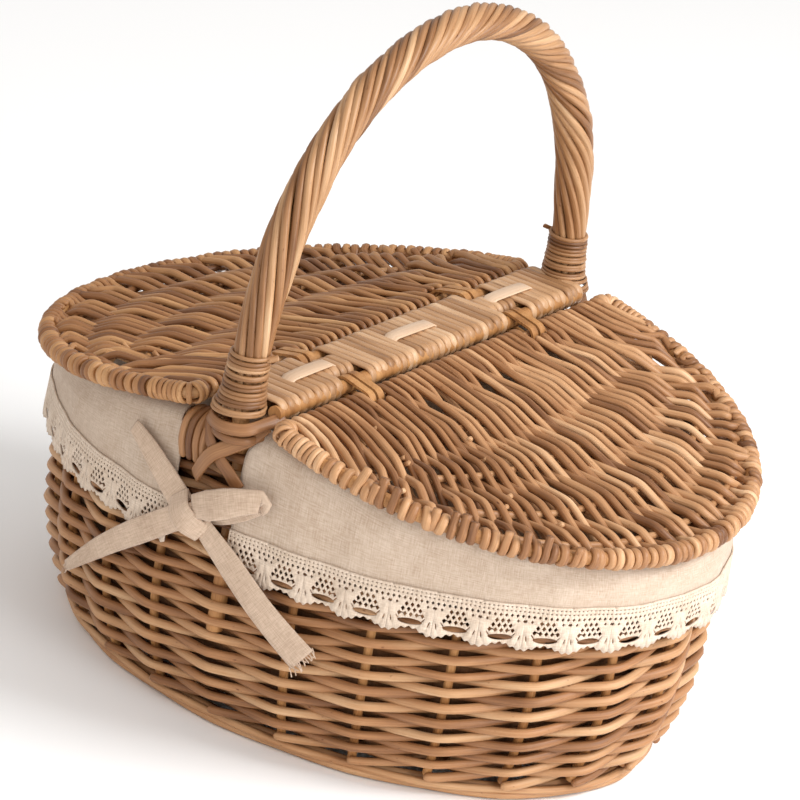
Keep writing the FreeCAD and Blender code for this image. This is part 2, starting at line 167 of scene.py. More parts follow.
# ---- mesh making ----
class Rods:
    """Rods and bands gathered into one mesh."""

    def __init__(self):
        self.verts, self.loops, self.starts = [], [], []
        self.tone, self.grain, self.painted_shade = [], [], []
        self.count, self.loop_count = 0, 0

    def add_faces(self, faces):
        faces = np.asarray(faces)
        self.starts.append(self.loop_count + np.arange(len(faces)) * faces.shape[1])
        self.loops.append(faces.ravel())
        self.loop_count += faces.size

    def sweep(self, path, width, height=None, up=(0, 0, 1), sides=8, closed=False,
              tone=None, painted_shade=0.0, square=1.0, dome=True):
        path = np.asarray(path, float)
        n = len(path)
        tangent = unit(np.roll(path, -1, 0) - np.roll(path, 1, 0) if closed else np.gradient(path, axis=0))
        w = np.broadcast_to(width, n) / 2
        h = w if height is None else np.broadcast_to(height, n) / 2
        across = unit(np.cross(tangent, np.broadcast_to(up, (n, 3))))
        lift = np.cross(across, tangent)
        reach = travel_along(path)
        pick, scale, shift = np.arange(n), np.ones(n), np.zeros(n)
        if not closed and dome:
            low, high = min(w[0], h[0]), min(w[-1], h[-1])
            pick = np.pad(pick, 2, mode="edge")
            scale = join([[0.3, 0.75], scale, [0.75, 0.3]])
            shift = join([[-0.95 * low, -0.66 * low], shift, [0.66 * high, 0.95 * high]])
        m = len(pick)
        centre = path[pick] + tangent[pick] * shift[:, None]
        turn = TURN * np.arange(sides) / sides
        c, s = np.cos(turn), np.sin(turn)
        c = np.sign(c) * np.abs(c) ** square
        s = np.sign(s) * np.abs(s) ** square
        ws, hs = (w[pick] * scale)[:, None] * c, (h[pick] * scale)[:, None] * s
        ring = centre[:, None] + across[pick][:, None] * ws[..., None] + lift[pick][:, None] * hs[..., None]
        self.verts.append(ring.reshape(-1, 3))
        offset = rng.uniform(0, 400, 3)
        grain = np.stack(np.broadcast_arrays(ws, hs, reach[pick][:, None]), -1) + offset
        self.grain.append(grain.reshape(-1, 3))
        self.tone.append(np.full(m * sides, rng.random() if tone is None else tone))
        # painted_shade: per point, 0 to 1, how much painted shade darkens the rod in the willow material.
        self.painted_shade.append(np.repeat(np.broadcast_to(painted_shade, n)[pick], sides))
        rows = m if closed else m - 1
        i, k = np.meshgrid(np.arange(rows), np.arange(sides), indexing="ij")
        j, l = (i + 1) % m, (k + 1) % sides
        quads = np.stack([i * sides + k, j * sides + k, j * sides + l, i * sides + l], -1)
        self.add_faces(quads.reshape(-1, 4) + self.count)
        if not closed:
            start = self.count + np.arange(sides)
            self.add_faces([start])
            self.add_faces([start[::-1] + (m - 1) * sides])
        self.count += m * sides

    def build(self, name, material, slot, replaced, body="basket"):
        mesh = bpy.data.meshes.new(name)
        verts = join(self.verts) * MM
        loops = join(self.loops)
        mesh.vertices.add(len(verts))
        mesh.vertices.foreach_set("co", verts.ravel())
        mesh.loops.add(len(loops))
        mesh.loops.foreach_set("vertex_index", loops.astype(np.int32))
        starts = join(self.starts)
        mesh.polygons.add(len(starts))
        mesh.polygons.foreach_set("loop_start", starts.astype(np.int32))
        mesh.update(calc_edges=True)
        for key, values in (("tone", self.tone), ("painted_shade", self.painted_shade), ("grain", self.grain)):
            add_attribute(mesh, key, join(values))
        return place(mesh, material, slot, replaced, body)


def add_attribute(mesh, name, values):
    kind, field = ("FLOAT_VECTOR", "vector") if values.ndim == 2 else ("FLOAT", "value")
    data = mesh.attributes.new(name, kind, "POINT").data
    data.foreach_set(field, values.astype(np.float32).ravel())


def place(mesh, material, slot, replaced, body="basket"):
    """Piece from a mesh, on its body, in the place of the part's own shapes."""
    mesh.shade_smooth()
    piece = add_to_scene(mesh.name, mesh)
    mesh.materials.append(material)
    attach(piece, body)
    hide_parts(*replaced)
    return piece


def thicken(piece, thick):
    solid = piece.modifiers.new("thickness", "SOLIDIFY")
    solid.thickness = thick * MM
    solid.offset = 0
    return solid


def sheet(name, points, cloth, replaced, thick=1.2, wrap=False, under=None):
    """Linen cloth from a grid of points (rows, columns)."""
    rows, cols = points.shape[:2]
    last = cols if wrap else cols - 1
    i, k = np.meshgrid(np.arange(rows - 1), np.arange(last), indexing="ij")
    l = (k + 1) % cols
    quads = np.stack([i * cols + k, (i + 1) * cols + k, (i + 1) * cols + l, i * cols + l], -1).reshape(-1, 4)
    mesh = bpy.data.meshes.new(name)
    mesh.from_pydata((points.reshape(-1, 3) * MM).tolist(), [], quads.tolist())
    add_attribute(mesh, "cloth", cloth.reshape(-1, 3))
    piece = place(mesh, LINEN, "linen", replaced)
    solid = thicken(piece, thick)
    # The under material goes on the cloth's other face; for the lining it is painted shade.
    if under is not None:
        mesh.materials.append(under)
        solid.material_offset = 1
        solid.material_offset_rim = 1


# ---- materials ----
def srgb(r, g, b):
    def linear(c):
        c = c / 255
        return c / 12.92 if c <= 0.04045 else ((c + 0.055) / 1.055) ** 2.4
    return (linear(r), linear(g), linear(b), 1)


class Nodes:
    """Short way to write a node material."""

    def __init__(self, name):
        self.material = bpy.data.materials.new(name)
        self.material.use_nodes = True
        self.tree = self.material.node_tree
        self.shader = self.tree.nodes["Principled BSDF"]

    def add(self, kind, inputs, **values):
        """New node with its inputs, given by name or number, set or linked."""
        node = self.tree.nodes.new(kind)
        for key, value in values.items():
            setattr(node, key, value)
        self.feed(node, inputs)
        return node

    def feed(self, node, inputs):
        for key, value in inputs.items():
            if isinstance(value, (float, tuple)):
                node.inputs[key].default_value = value
            else:
                self.tree.links.new(value, node.inputs[key])

    def read(self, name, output="Fac"):
        return self.add("ShaderNodeAttribute", {}, attribute_name=name).outputs[output]

    def scale(self, vector, factors):
        return self.add("ShaderNodeVectorMath", {0: vector, 1: factors}, operation="MULTIPLY").outputs[0]

    def noise(self, vector, scale, detail=2.0):
        inputs = {"Scale": 1.0, "Detail": detail, "Vector": self.scale(vector, scale)}
        return self.add("ShaderNodeTexNoise", inputs).outputs[0]

    def math(self, operation, a, b, clamp=False):
        return self.add("ShaderNodeMath", {0: a, 1: b}, operation=operation, use_clamp=clamp).outputs[0]

    def blend(self, a, share_a, b, share_b):
        return self.math("ADD", self.math("MULTIPLY", a, share_a), self.math("MULTIPLY", b, share_b))

    def ramp(self, value, stops):
        node = self.add("ShaderNodeValToRGB", {0: value})
        elements = node.color_ramp.elements
        while len(elements) < len(stops):
            elements.new(0.5)
        for element, (spot, colour) in zip(elements, stops):
            element.position = spot
            element.color = colour
        return node.outputs[0]

    def mix(self, kind, amount, a, b):
        inputs = {0: amount, 6: a, 7: b}
        return self.add("ShaderNodeMix", inputs, data_type="RGBA", blend_type=kind).outputs[2]

    def bump(self, height, strength, distance):
        return self.add("ShaderNodeBump", {"Strength": strength, "Distance": distance,
                                           "Height": height}).outputs[0]

    def finish(self, **inputs):
        """Set the shader's inputs, named with _ for spaces."""
        self.feed(self.shader, {key.replace("_", " "): value for key, value in inputs.items()})
        return self.material


def willow(name, places, colours, roughness, knots=True, plain=False):
    """Peeled willow: a tone per rod, streaks along it, sparse knots, and painted shade where rods lie back in
    the weave.
    """
    n = Nodes(name)
    if plain:
        grain = n.scale(n.add("ShaderNodeTexCoord", {}).outputs["Object"], (1 / MM, 1 / MM, 1 / MM))
        tone = n.noise(grain, (0.03, 0.03, 0.03), 1.0)
        # Plain willow has no painted shade.
        painted_shade = 0.0
    else:
        grain, tone, painted_shade = n.read("grain", "Vector"), n.read("tone"), n.read("painted_shade")
    streak = n.noise(grain, (1.3, 1.3, 0.035), 3.0)
    blotch = n.noise(grain, (0.12, 0.12, 0.022), 2.0)
    mixed = n.blend(tone, 0.5, streak, 0.45)
    mixed = n.math("ADD", mixed, n.math("MULTIPLY", n.math("SUBTRACT", blotch, 0.5), 0.75), clamp=True)
    colour = n.ramp(mixed, [(place, srgb(*rgb)) for place, rgb in zip(places, colours)])
    if knots:
        speck = n.noise(grain, (0.62, 0.62, 0.28), 1.0)
        mark = n.math("MULTIPLY", n.math("SUBTRACT", speck, 0.715, clamp=True), 9.0, clamp=True)
        colour = n.mix("MULTIPLY", mark, colour, (0.42, 0.30, 0.20, 1))
    # Painted shade: the colour is mixed towards a darker brown by the painted_shade attribute (0 to 1),
    # standing in for the shadow in the weave's crevices.
    shade = n.math("SUBTRACT", 1.0, painted_shade, clamp=True)
    dark = n.mix("MULTIPLY", 1.0, colour, (0.40, 0.30, 0.20, 1))
    colour = n.mix("MIX", shade, dark, colour)
    return n.finish(Base_Color=colour, Roughness=roughness, Specular_IOR_Level=0.4,
                    Normal=n.bump(streak, 0.35, 0.0004))


def woven_cloth(name, light, dark, bump=0.6):
    """Plain-weave linen with uneven threads both ways."""
    n = Nodes(name)
    cloth = n.read("cloth", "Vector")
    warp = n.noise(cloth, (1.9, 0.16, 0.3), 2.0)
    weft = n.noise(cloth, (0.16, 1.9, 0.3), 2.0)
    slub = n.noise(cloth, (0.05, 0.05, 0.05), 2.0)
    thread = n.blend(warp, 0.5, weft, 0.5)
    colour = n.ramp(n.blend(thread, 0.75, slub, 0.25), [(0.36, dark), (0.64, light)])
    return n.finish(Base_Color=colour, Roughness=0.95, Specular_IOR_Level=0.15, Sheen_Weight=0.15,
                    Normal=n.bump(thread, bump, 0.0006))


# Each willow has four tones, darkest first, at four places on its scale.
SCALE = (0.12, 0.40, 0.66, 0.9)
WIDE_SCALE = (0.12, 0.42, 0.68, 0.92)
WALL_WILLOW = willow("side_willow", (0.10, 0.42, 0.66, 0.9), [
    (122, 80, 48), (168, 119, 78), (188, 143, 101), (206, 168, 128)], 0.5)
LEFT_WILLOW = willow("left_lid_willow", SCALE, [
    (108, 68, 38), (154, 106, 66), (182, 134, 88), (206, 160, 112)], 0.45)
RIGHT_WILLOW = willow("right_lid_willow", SCALE, [
    (108, 68, 38), (156, 109, 70), (188, 142, 100), (216, 176, 136)], 0.45)
BINDING_SKEIN = willow("binding_skein", SCALE, [
    (96, 60, 32), (138, 96, 60), (160, 118, 80), (184, 144, 106)], 0.42, knots=False)
HANDLE_WILLOW = willow("handle_willow", WIDE_SCALE, [
    (104, 66, 34), (150, 106, 68), (178, 136, 96), (206, 170, 132)], 0.42)
PALE_SKEIN = willow("pale_skein", SCALE, [
    (136, 96, 62), (172, 130, 92), (194, 154, 116), (214, 180, 144)], 0.42, knots=False)
STRIP_SKEIN = willow("strip_skein", SCALE, [
    (180, 144, 110), (198, 164, 132), (208, 176, 146), (218, 190, 162)], 0.42, knots=False)
BROWN_SKEIN = willow("brown_skein", SCALE, [
    (96, 58, 30), (136, 92, 56), (164, 118, 78), (192, 148, 106)], 0.42, knots=False)
PLAIN_WILLOW = willow("plain_willow", WIDE_SCALE, [
    (110, 68, 32), (160, 110, 62), (190, 140, 88), (214, 168, 116)], 0.55, knots=False, plain=True)
LINEN = woven_cloth("linen", srgb(208, 190, 172), srgb(176, 153, 132))
# Dark brown for the lining's outer face: painted shade for the shadow seen through the gaps of the wall weave.
LINING_BACK_PAINTED_SHADE = woven_cloth("lining_back_painted_shade", srgb(132, 92, 60), srgb(98, 66, 42))
LACE = woven_cloth("lace_thread", srgb(226, 208, 190), srgb(194, 172, 150), 0.9)
RIBBON = woven_cloth("ribbon_cloth", srgb(212, 188, 166), srgb(178, 152, 130), 0.7)


# ---- walls ----
def build_side_weave():
    """Strands that climb the wall from stake to stake, each in front of one stake and behind the next."""
    rods = Rods()
    steps = np.arange(0, 341) / 10
    for k in range(STAKES):
        angle = oval_angle((k + steps) * GIRTH / STAKES)
        z = 10.6 + 4.6 * steps + wobble(len(steps), 30, 0.32)
        swing = np.arcsin(0.975 * np.cos(np.pi * steps)) / math.asin(0.975)
        points, normals = on_wall(angle, z, -WALL / 2 + 4.9 * swing + wobble(len(steps), 24, 0.18))
        keep = z < saddle(points[:, 0]) - 14.5
        edges = np.flatnonzero(np.diff(keep.astype(int), prepend=0, append=0))
        size = 4.85 * (1 + rng.normal(0, 0.05)) * (1 + wobble(len(steps), 12, 0.035))
        tone = rng.random()
        for first, last in edges.reshape(-1, 2):
            if last - first > 5:
                cut = slice(first, last)
                # Painted shade, up to 0.55, where a strand lies back behind a stake.
                rods.sweep(points[cut], size[cut], up=normals[cut], tone=tone,
                           painted_shade=np.clip(0.5 - 0.6 * swing[cut], 0, 1) * 0.55)
    rods.build("side_weave_rods", WALL_WILLOW, "willow_body", ["side_weave"])


def build_rim():
    """Rods twisted round each other along the top edge, under the cloth."""
    rods = Rods()
    strands, ring, pitch = 4, 2.9, 52.0
    for half_turn in (0, np.pi):
        angle = np.linspace(-np.pi / 2 + 0.06, np.pi / 2 - 0.06, 180) + half_turn
        x = (RIM_A - WALL / 2) * np.cos(angle)
        centre, normal = on_wall(angle, saddle(x) - RIM_BORDER, -WALL / 2)
        side = np.cross(unit(np.gradient(centre, axis=0)), normal)
        for k in range(strands):
            turn = TURN * (travel_along(centre) / pitch + k / strands)
            offset = np.cos(turn)[:, None] * normal + np.sin(turn)[:, None] * side
            rods.sweep(centre + ring * offset, 5.2, up=offset)
    rods.build("rim_rods", WALL_WILLOW, "willow_body", ["rim_border"])


def build_foot():
    """Rows of rods under the weave, bent over the stakes."""
    rods = Rods()
    count = STAKES * 16
    step = np.arange(count) / 16
    for z, out, turn in ((2.25, -3.4, 0), (5.7, -3.0, 1), (2.25, -8.0, 1), (5.7, -8.4, 0), (2.6, -12.4, 0)):
        swing = np.arcsin(0.95 * np.cos(np.pi * (step + turn))) / math.asin(0.95)
        angle = oval_angle(step * GIRTH / STAKES)
        points, normals = on_wall(angle, z + wobble(count, 40, 0.12), out + 0.9 * swing)
        rods.sweep(points, 4.3, up=normals, closed=True, tone=rng.uniform(0.3, 0.8))
    rods.build("foot_rods", WALL_WILLOW, "willow_body", ["foot_border"])


def build_base():
    """Rods worked in ovals round the base sticks."""
    rods = Rods()
    low, high = mm_box("base_weave")
    middle = (low[2] + high[2]) / 2
    rings = 27
    for k in range(rings):
        share = (k + 0.6) / rings
        t = np.linspace(0, TURN, int(60 + 260 * share), endpoint=False)
        waves = 22 if share > 0.35 else 12
        wave = np.cos(waves * t + np.pi * k)
        path = np.stack([high[0] * share * np.cos(t), high[1] * share * np.sin(t), middle + 2.2 * wave], -1)
        rods.sweep(path, 3.9, up=(0, 0, 1), closed=True, sides=6)
    rods.build("base_rods", WALL_WILLOW, "willow_body", ["base_weave"])


# ---- cloth ----
FOLDS = [(rng.uniform(0.6, 1.0), waves, rng.uniform(0, 6.28)) for waves in (7, 11, 16, 23, 31)]


def folds(length):
    """Fold pattern of the cloth along the wall, 0 to 1."""
    total = sum(size * np.sin(TURN * waves * length / GIRTH + phase) for size, waves, phase in FOLDS)
    return 0.5 + 0.5 * np.tanh(0.62 * total)


def skirt_out(length, z):
    """How far the skirt stands off the wall."""
    drop = np.clip((165.0 - z) / 60.0, 0, 1)
    return 1.8 + 1.0 * drop + (0.4 + 1.7 * drop) * folds(length)


def panel_span(side, z):
    """Oval angles of both edges of one half of the skirt; its top corners at the slits are rounded."""
    lean = np.clip((z - (RIM_TOP - SLIT_CORNER)) / SLIT_CORNER, 0, 1)
    inset = 10.0 * (1 - np.sqrt(np.clip(1 - lean ** 2, 0, 1)))
    a = half_length(z)
    if side > 0:
        return -np.pi / 2 + np.arcsin((SLIT_TO + inset) / a), np.pi / 2 - np.arcsin((inset - SLIT_FROM) / a)
    return -np.pi / 2 + np.arcsin((SLIT_FROM - inset) / a), -3 * np.pi / 2 - np.arcsin((-SLIT_TO - inset) / a)


def cloth_down(points):
    """Mean way down the cloth at each row of a grid of points."""
    return join([[0], np.cumsum(np.linalg.norm(np.diff(points, axis=0), axis=2).mean(1))])


def build_skirt(side, end):
    """Half of the skirt: from inside the basket, over the rim and down the outside to the lace."""
    share = np.linspace(0, 1, 300)
    rows, lengths = [], []
    start, stop = panel_span(side, RIM_TOP - 4.0)
    angle = start + (stop - start) * share
    rim = saddle(half_length(RIM_TOP) * np.cos(angle))
    over = np.radians(np.linspace(200, 0, 10))
    round_rim = [(-6.0 + 7.0 * math.cos(a), -6.0 + 7.0 * math.sin(a)) for a in over]
    for out, drop in [(-13.6, -20.0), (-13.4, -13.0)] + round_rim:
        rows.append(on_wall(angle, rim + drop, out)[0])
        lengths.append(oval_length(angle))
    top = rim - RIM_BORDER
    for k in join([np.linspace(0.03, 0.92, 26), [0.95, 0.965, 0.985, 1.0]]):
        z = top + (SKIRT_Z - top) * k
        first, last = panel_span(side, RIM_TOP - RIM_BORDER + (SKIRT_Z - RIM_TOP + RIM_BORDER) * k)
        fall_angle = first + (last - first) * share
        length = oval_length(fall_angle)
        ease = np.clip(k * 3.2, 0, 1)
        hem = 0.35 if k > 0.94 else 0.0
        out = 1.0 * (1 - ease) + skirt_out(length, z) * ease + hem
        rows.append(on_wall(fall_angle, z, out)[0])
        lengths.append(length)
    points = np.array(rows)
    cloth = np.stack(np.broadcast_arrays(np.array(lengths), cloth_down(points)[:, None], 0.0), -1)
    if side > 0:
        points, cloth = points[:, ::-1], cloth[:, ::-1]
    sheet("skirt_cloth_" + end, points, cloth, ["liner_skirt_" + end])


def ellipse_hole(x, y, w, h, count, turn=0.0):
    t = TURN * np.arange(count) / count
    px, py = w / 2 * np.cos(t), h / 2 * np.sin(t)
    c, s = math.cos(turn), math.sin(turn)
    return np.stack([x + px * c - py * s, y + px * s + py * c], -1)


def lace_holes(width):
    """Openings of one lace repeat: beading, net, open oval and the slits of the fan."""
    middle = width / 2
    for y, size in ((23.4, 0.95), (21.3, 1.1)):
        for k in range(10):
            yield ellipse_hole((k + 0.5) * width / 10, y, size, size, 6)
    for k in range(8):
        yield ellipse_hole((k + 0.5) * width / 8, 18.7, 1.7, 2.2, 4)
    for k in (0, 1, 6, 7):
        yield ellipse_hole((k + 0.15 + 0.1 * k) * width / 8, 15.9, 1.5, 2.1, 4)
    yield ellipse_hole(middle, 6.4, 12.6, 3.6, 16)
    for row, count in ((0, 5), (1, 4), (2, 3)):
        for k in range(count):
            x = middle + (k - (count - 1) / 2) * 2.9
            yield ellipse_hole(x, 10.2 + row * 2.7, 2.15, 2.9, 4)
    for sign in (-1, 1):
        for k in range(3):
            swing = sign * (0.22 + 0.42 * k)
            x = math.sin(swing) * 8.0
            y = 14.3 - math.cos(swing) * 8.0
            yield ellipse_hole(x if x > 0 else x + width, y, 0.7, 3.6, 6, swing)


def inside(point, loop):
    a, b = loop, np.roll(loop, -1, 0)
    cross = (a[:, 1] > point[1]) != (b[:, 1] > point[1])
    slope = (b[:, 0] - a[:, 0]) * (point[1] - a[:, 1]) / np.where(cross, b[:, 1] - a[:, 1], 1) + a[:, 0]
    return (cross & (point[0] < slope)).sum() % 2 == 1


def lace_repeat():
    """Points and triangles of one lace repeat, with its holes left out."""
    width = LACE_REPEAT_WIDTH
    holes = list(lace_holes(width))
    xs = width * np.arange(37) / 36
    bottom = 1.7 - 1.7 * np.cos(TURN * xs / width) + 0.6 * np.cos(TURN * 6 * xs / width)
    outline = [(x, y) for x, y in zip(xs, bottom)] + [(width, 8.0), (width, 16.0)]
    outline += [(x, LACE_HEIGHT) for x in xs[::-4]] + [(0.0, 16.0), (0.0, 8.0)]
    verts, edges = [], []
    for loop in [np.array(outline)] + holes:
        first = len(verts)
        verts += [Vector(p) for p in loop]
        edges += [(first + i, first + (i + 1) % len(loop)) for i in range(len(loop))]
    result = delaunay_2d_cdt(verts, edges, [], 1, 1e-5)
    points = np.array([tuple(v) for v in result[0]])
    triangles = np.array(result[2])
    in_hole = [any(inside(centre, hole) for hole in holes) for centre in points[triangles].mean(1)]
    return points, triangles[~np.array(in_hole)]


def build_lace(side, end, repeat):
    """Lace sewn on along the lower edge of half of the skirt."""
    flat, triangles = repeat
    start, stop = (oval_length(angle) for angle in panel_span(side, SKIRT_Z))
    total = abs(stop - start)
    count = round(total / LACE_REPEAT_WIDTH)
    scale = total / (LACE_REPEAT_WIDTH * count)
    direction = 1 if stop > start else -1
    z = LACE_Z + flat[:, 1]
    ripple = 0.5 * np.sin(TURN * flat[:, 0] / LACE_REPEAT_WIDTH) * np.clip((118 - z) / 20, 0, 1)
    verts, faces, cloth = [], [], []
    for k in range(count):
        along = (flat[:, 0] + LACE_REPEAT_WIDTH * k) * scale
        length = start + direction * along
        out = skirt_out(length, np.maximum(z, LACE_Z)) + 1.3 + ripple
        verts.append(on_wall(oval_angle(length), z, out)[0])
        cloth.append(np.stack([along, z, np.zeros_like(z)], -1))
        faces.append(triangles + k * len(flat))
    faces = join(faces)
    if side < 0:
        faces = faces[:, ::-1]
    mesh = bpy.data.meshes.new("lace_edge_" + end)
    mesh.from_pydata((join(verts) * MM).tolist(), [], faces.tolist())
    add_attribute(mesh, "cloth", join(cloth))
    piece = place(mesh, LACE, "lace", ["lace_" + end])
    thicken(piece, 0.9)


def build_bag():
    """Lining inside the basket: walls and floor in one cloth, its outer face in dark brown painted shade."""
    angle = np.linspace(0, TURN, 240, endpoint=False)
    length = oval_length(angle)
    floor_z = mm_box("liner_bag")[0][2] + 0.8
    bottom = floor_z + 6
    top = saddle((RIM_A - 14) * np.cos(angle)) - 14.0
    rows = []
    for k in np.linspace(1.0, 0.0, 24):
        out = -WALL - 1.8 - 1.4 * folds(length * 1.5) * np.sin(np.pi * min(1, k + 0.1)) ** 2
        rows.append(on_wall(angle, bottom + (top - bottom) * k, out)[0])
    walls = len(rows)
    edge = on_wall(angle, bottom, -WALL - 1.8)[0]
    for share, lift in ((0.975, 3.0), (0.94, 1.0), (0.88, 0.3), (0.7, 0.5), (0.5, 0.1), (0.3, 0.4),
                        (0.1, 0.1), (0.02, 0.0), (0.0005, 0.0)):
        row = edge * np.array([share, share, 0])
        row[:, 2] = floor_z + lift + 0.4 * np.sin(5 * angle + 9 * share)
        rows.append(row)
    points = np.array(rows)
    down = np.broadcast_to(cloth_down(points)[:, None], points.shape[:2])
    cloth = np.stack([points[..., 0], points[..., 1], down], -1)
    cloth[:walls, :, 0] = length
    cloth[:walls, :, 1] = down[:walls]
    sheet("lining_cloth", points[:, ::-1], cloth[:, ::-1], ["liner_bag"], thick=1.0, wrap=True,
          under=LINING_BACK_PAINTED_SHADE)


def smooth_path(places, count, axes=2):
    """Curve through places (rows of any width), spaced by their first two or three columns."""
    places = np.asarray(places, float)
    knots = travel_along(places[:, :axes])
    t = np.linspace(0, knots[-1], count)
    slope = np.gradient(places, knots, axis=0)
    i = np.clip(np.searchsorted(knots, t, side="right") - 1, 0, len(knots) - 2)
    h = (knots[i + 1] - knots[i])[:, None]
    f = (t - knots[i])[:, None] / h
    path = places[i] * (2 * f ** 3 - 3 * f ** 2 + 1) + slope[i] * h * (f ** 3 - 2 * f ** 2 + f)
    return path + places[i + 1] * (3 * f ** 2 - 2 * f ** 3) + slope[i + 1] * h * (f ** 3 - f ** 2)


def ribbon(rods, places, width, thick=1.3, lean=0.0):
    """Flat ribbon over the front wall; places are (x, z, out)."""
    path = smooth_path(places, 36)
    points, normals = on_front(path[:, 0], path[:, 1], path[:, 2])
    widths = np.interp(np.linspace(0, 1, 36), np.linspace(0, 1, len(width)), width)
    rods.sweep(points, widths, thick, up=normals + np.array([0, 0, lean]), square=0.5, sides=10, dome=False)
    return points, normals, widths


def fray(rods, points, normals, widths, count):
    """Loose threads at the end of a ribbon."""
    tip, back, normal = points[-1], points[-3], normals[-1]
    along = unit(tip - back)
    across = np.cross(along, normal)
    for k in range(count):
        start = tip + across * widths[-1] * (k / (count - 1) - 0.5) - along * 1.0
        length = 5.0 * rng.uniform(0.5, 1.0)
        bend = across * rng.normal(0, 1.0) + normal * rng.uniform(-0.8, 0.6) + np.array([0, 0, -0.8])
        path = [start, start + along * length * 0.5 + bend * 0.4, start + along * length + bend * 1.2]
        rods.sweep(path, 0.75, up=normal, sides=5)


def build_tie(back):
    """Ribbon knotted in a half bow over the slit: strap, two tails, loop and knot."""
    rods = Rods()
    ribbon(rods, [(-64, 151, 6.5), (-52, 146, 7.5), (-38, 138, 8.5), (-20, 126, 9.5)],
           [8, 12, 14, 15], lean=0.25)
    ribbon(rods, [(-22, 119, 9), (-40, 105, 8.5), (-66, 84, 8), (-103, 50, 7.5)],
           [14, 14, 11, 6], lean=-0.15)
    left = ribbon(rods, [(-90, 62, 7.8), (-97, 56, 7.6), (-103, 50, 7.5)], [6, 5, 4])
    right = ribbon(rods, [(-9, 122, 10), (9, 108, 9), (33, 88, 8.5), (58, 69, 7.5)],
                   [13, 17, 17, 18], lean=-0.1)
    ribbon(rods, [(-12, 130, 13), (2, 137, 15.5), (16, 144, 14), (25, 146, 10), (22, 142, 7.5)],
           [12, 16, 16, 13, 11], lean=0.2)
    ribbon(rods, [(-12, 124, 8), (0, 128, 7.5), (12, 135, 7.5), (22, 142, 8)], [9, 11, 12, 10], lean=-0.3)
    ribbon(rods, [(-24, 131, 9), (-19, 126, 14.5), (-12, 121, 15), (-6, 116, 9.5)],
           [14, 15, 15, 13], 2.4, lean=0.1)
    ribbon(rods, [(-22, 118, 9), (-17, 122, 12.5), (-9, 127, 12)], [10, 13, 12], 3.5)
    fray(rods, *left, count=7)
    fray(rods, *right, count=14)
    rods.verts = [flip(verts, back) for verts in rods.verts]
    rods.grain = [grain[:, [0, 2, 1]] for grain in rods.grain]
    end = end_name(back)
    piece = rods.build("tie_ribbon_" + end, RIBBON, "linen", ["tie_" + end])
    add_attribute(piece.data, "cloth", join(rods.grain))


# ---- handle ----
def flip(points, back):
    """Points at the front foot, or turned half way round for the back foot."""
    return points * np.array([-1, -1, 1]) if back else points


def end_name(back):
    return "back" if back else "front"


def arc(centre_y, centre_z, radius, angles):
    """Arc of the handle and its outward directions."""
    out = np.stack([0 * angles, -np.cos(angles), np.sin(angles)], -1)
    return np.array([0, -centre_y, centre_z]) + radius * out, out


def arch_line():
    """Middle line of the handle, its outward directions and its travel lengths, front foot to back foot."""
    step = 4.0
    centre_y = FOOT_Y - LEG_R
    lean = math.atan2(TOP_Z - FOOT_Z, -centre_y)
    leg = np.linspace(0, lean, int(LEG_R * lean / step) + 2)
    top = np.linspace(lean, np.pi - lean, int(TOP_R * (np.pi - 2 * lean) / step) + 2)[1:]
    line, outward = (join([front, crown, (front * np.array([1, -1, 1]))[::-1][1:]])
                     for front, crown in zip(arc(centre_y, FOOT_Z, LEG_R, leg), arc(0, TOP_Z, TOP_R, top)))
    return line, outward, travel_along(line)


def build_handle():
    """Rods laid round the core: a slow twist at the feet, a quick one over the top."""
    rods = Rods()
    line, outward, length = arch_line()
    share = length / length[-1]
    pitch = np.interp(share, *HANDLE_PITCH)
    turn = -join([[0], np.cumsum(np.diff(length) * TURN / pitch[1:])])
    flare = np.interp(np.minimum(share, 1 - share), *HANDLE_FLARE)
    side = np.array([1.0, 0, 0])
    for k in range(HANDLE_RODS):
        angle = turn + TURN * k / HANDLE_RODS + wobble(len(line), 9, 0.05)
        ring = flare + wobble(len(line), 14, 0.22)
        offset = np.cos(angle)[:, None] * outward + np.sin(angle)[:, None] * side
        size = HANDLE_ROD_SIZE * (1 + rng.normal(0, 0.06)) * (1 + wobble(len(line), 8, 0.03))
        rods.sweep(line + ring[:, None] * offset, size, up=offset, sides=10)
    rods.build("handle_rods", HANDLE_WILLOW, "willow_handle", ["handle_twist_rods"])


def circle_path(centre, radius, tilt):
    """Slightly tilted circle and its outward directions."""
    t = TURN * np.arange(40) / 40
    path = np.stack([radius * np.cos(t), radius * np.sin(t), tilt * radius * np.cos(t + 0.8)], -1)
    return path + centre, np.stack([np.cos(t), np.sin(t), 0 * t], -1)


def build_binding(back):
    """Skein wound in a cone round the handle foot, with one loose end at the top."""
    rods = Rods()
    sign = 1 if back else -1
    wraps = 14
    top = BIND_HIGH + 5.0
    for k in range(wraps):
        share = (k + 0.5) / wraps
        z = BIND_LOW + (top - BIND_LOW) * share
        lean = LEG_R - math.sqrt(LEG_R ** 2 - max(0.0, z - FOOT_Z) ** 2)
        radius = np.interp(share, *BIND_RADII) + rng.normal(0, 0.12)
        shift = np.interp(share, [0, 0.3], [1.4, 0.0])
        centre = np.array([sign * shift, sign * (FOOT_Y - lean), z + rng.normal(0, 0.15)])
        path, out = circle_path(centre, radius, rng.normal(0.03, 0.035))
        rods.sweep(path, 2.3, 2.0, up=out, closed=True)
    loose = smooth_path([(5, 0 - FOOT_Y, top - 3), (9, 2 - FOOT_Y, top - 2), (13.5, 6 - FOOT_Y, top)], 12)
    rods.sweep(flip(loose, back), 3.4, 1.3, up=flip(np.array([0.3, -1, 0.4]), back), tone=0.9)
    end = end_name(back)
    rods.build("binding_" + end, BINDING_SKEIN, "split_skein", ["handle_binding_" + end])


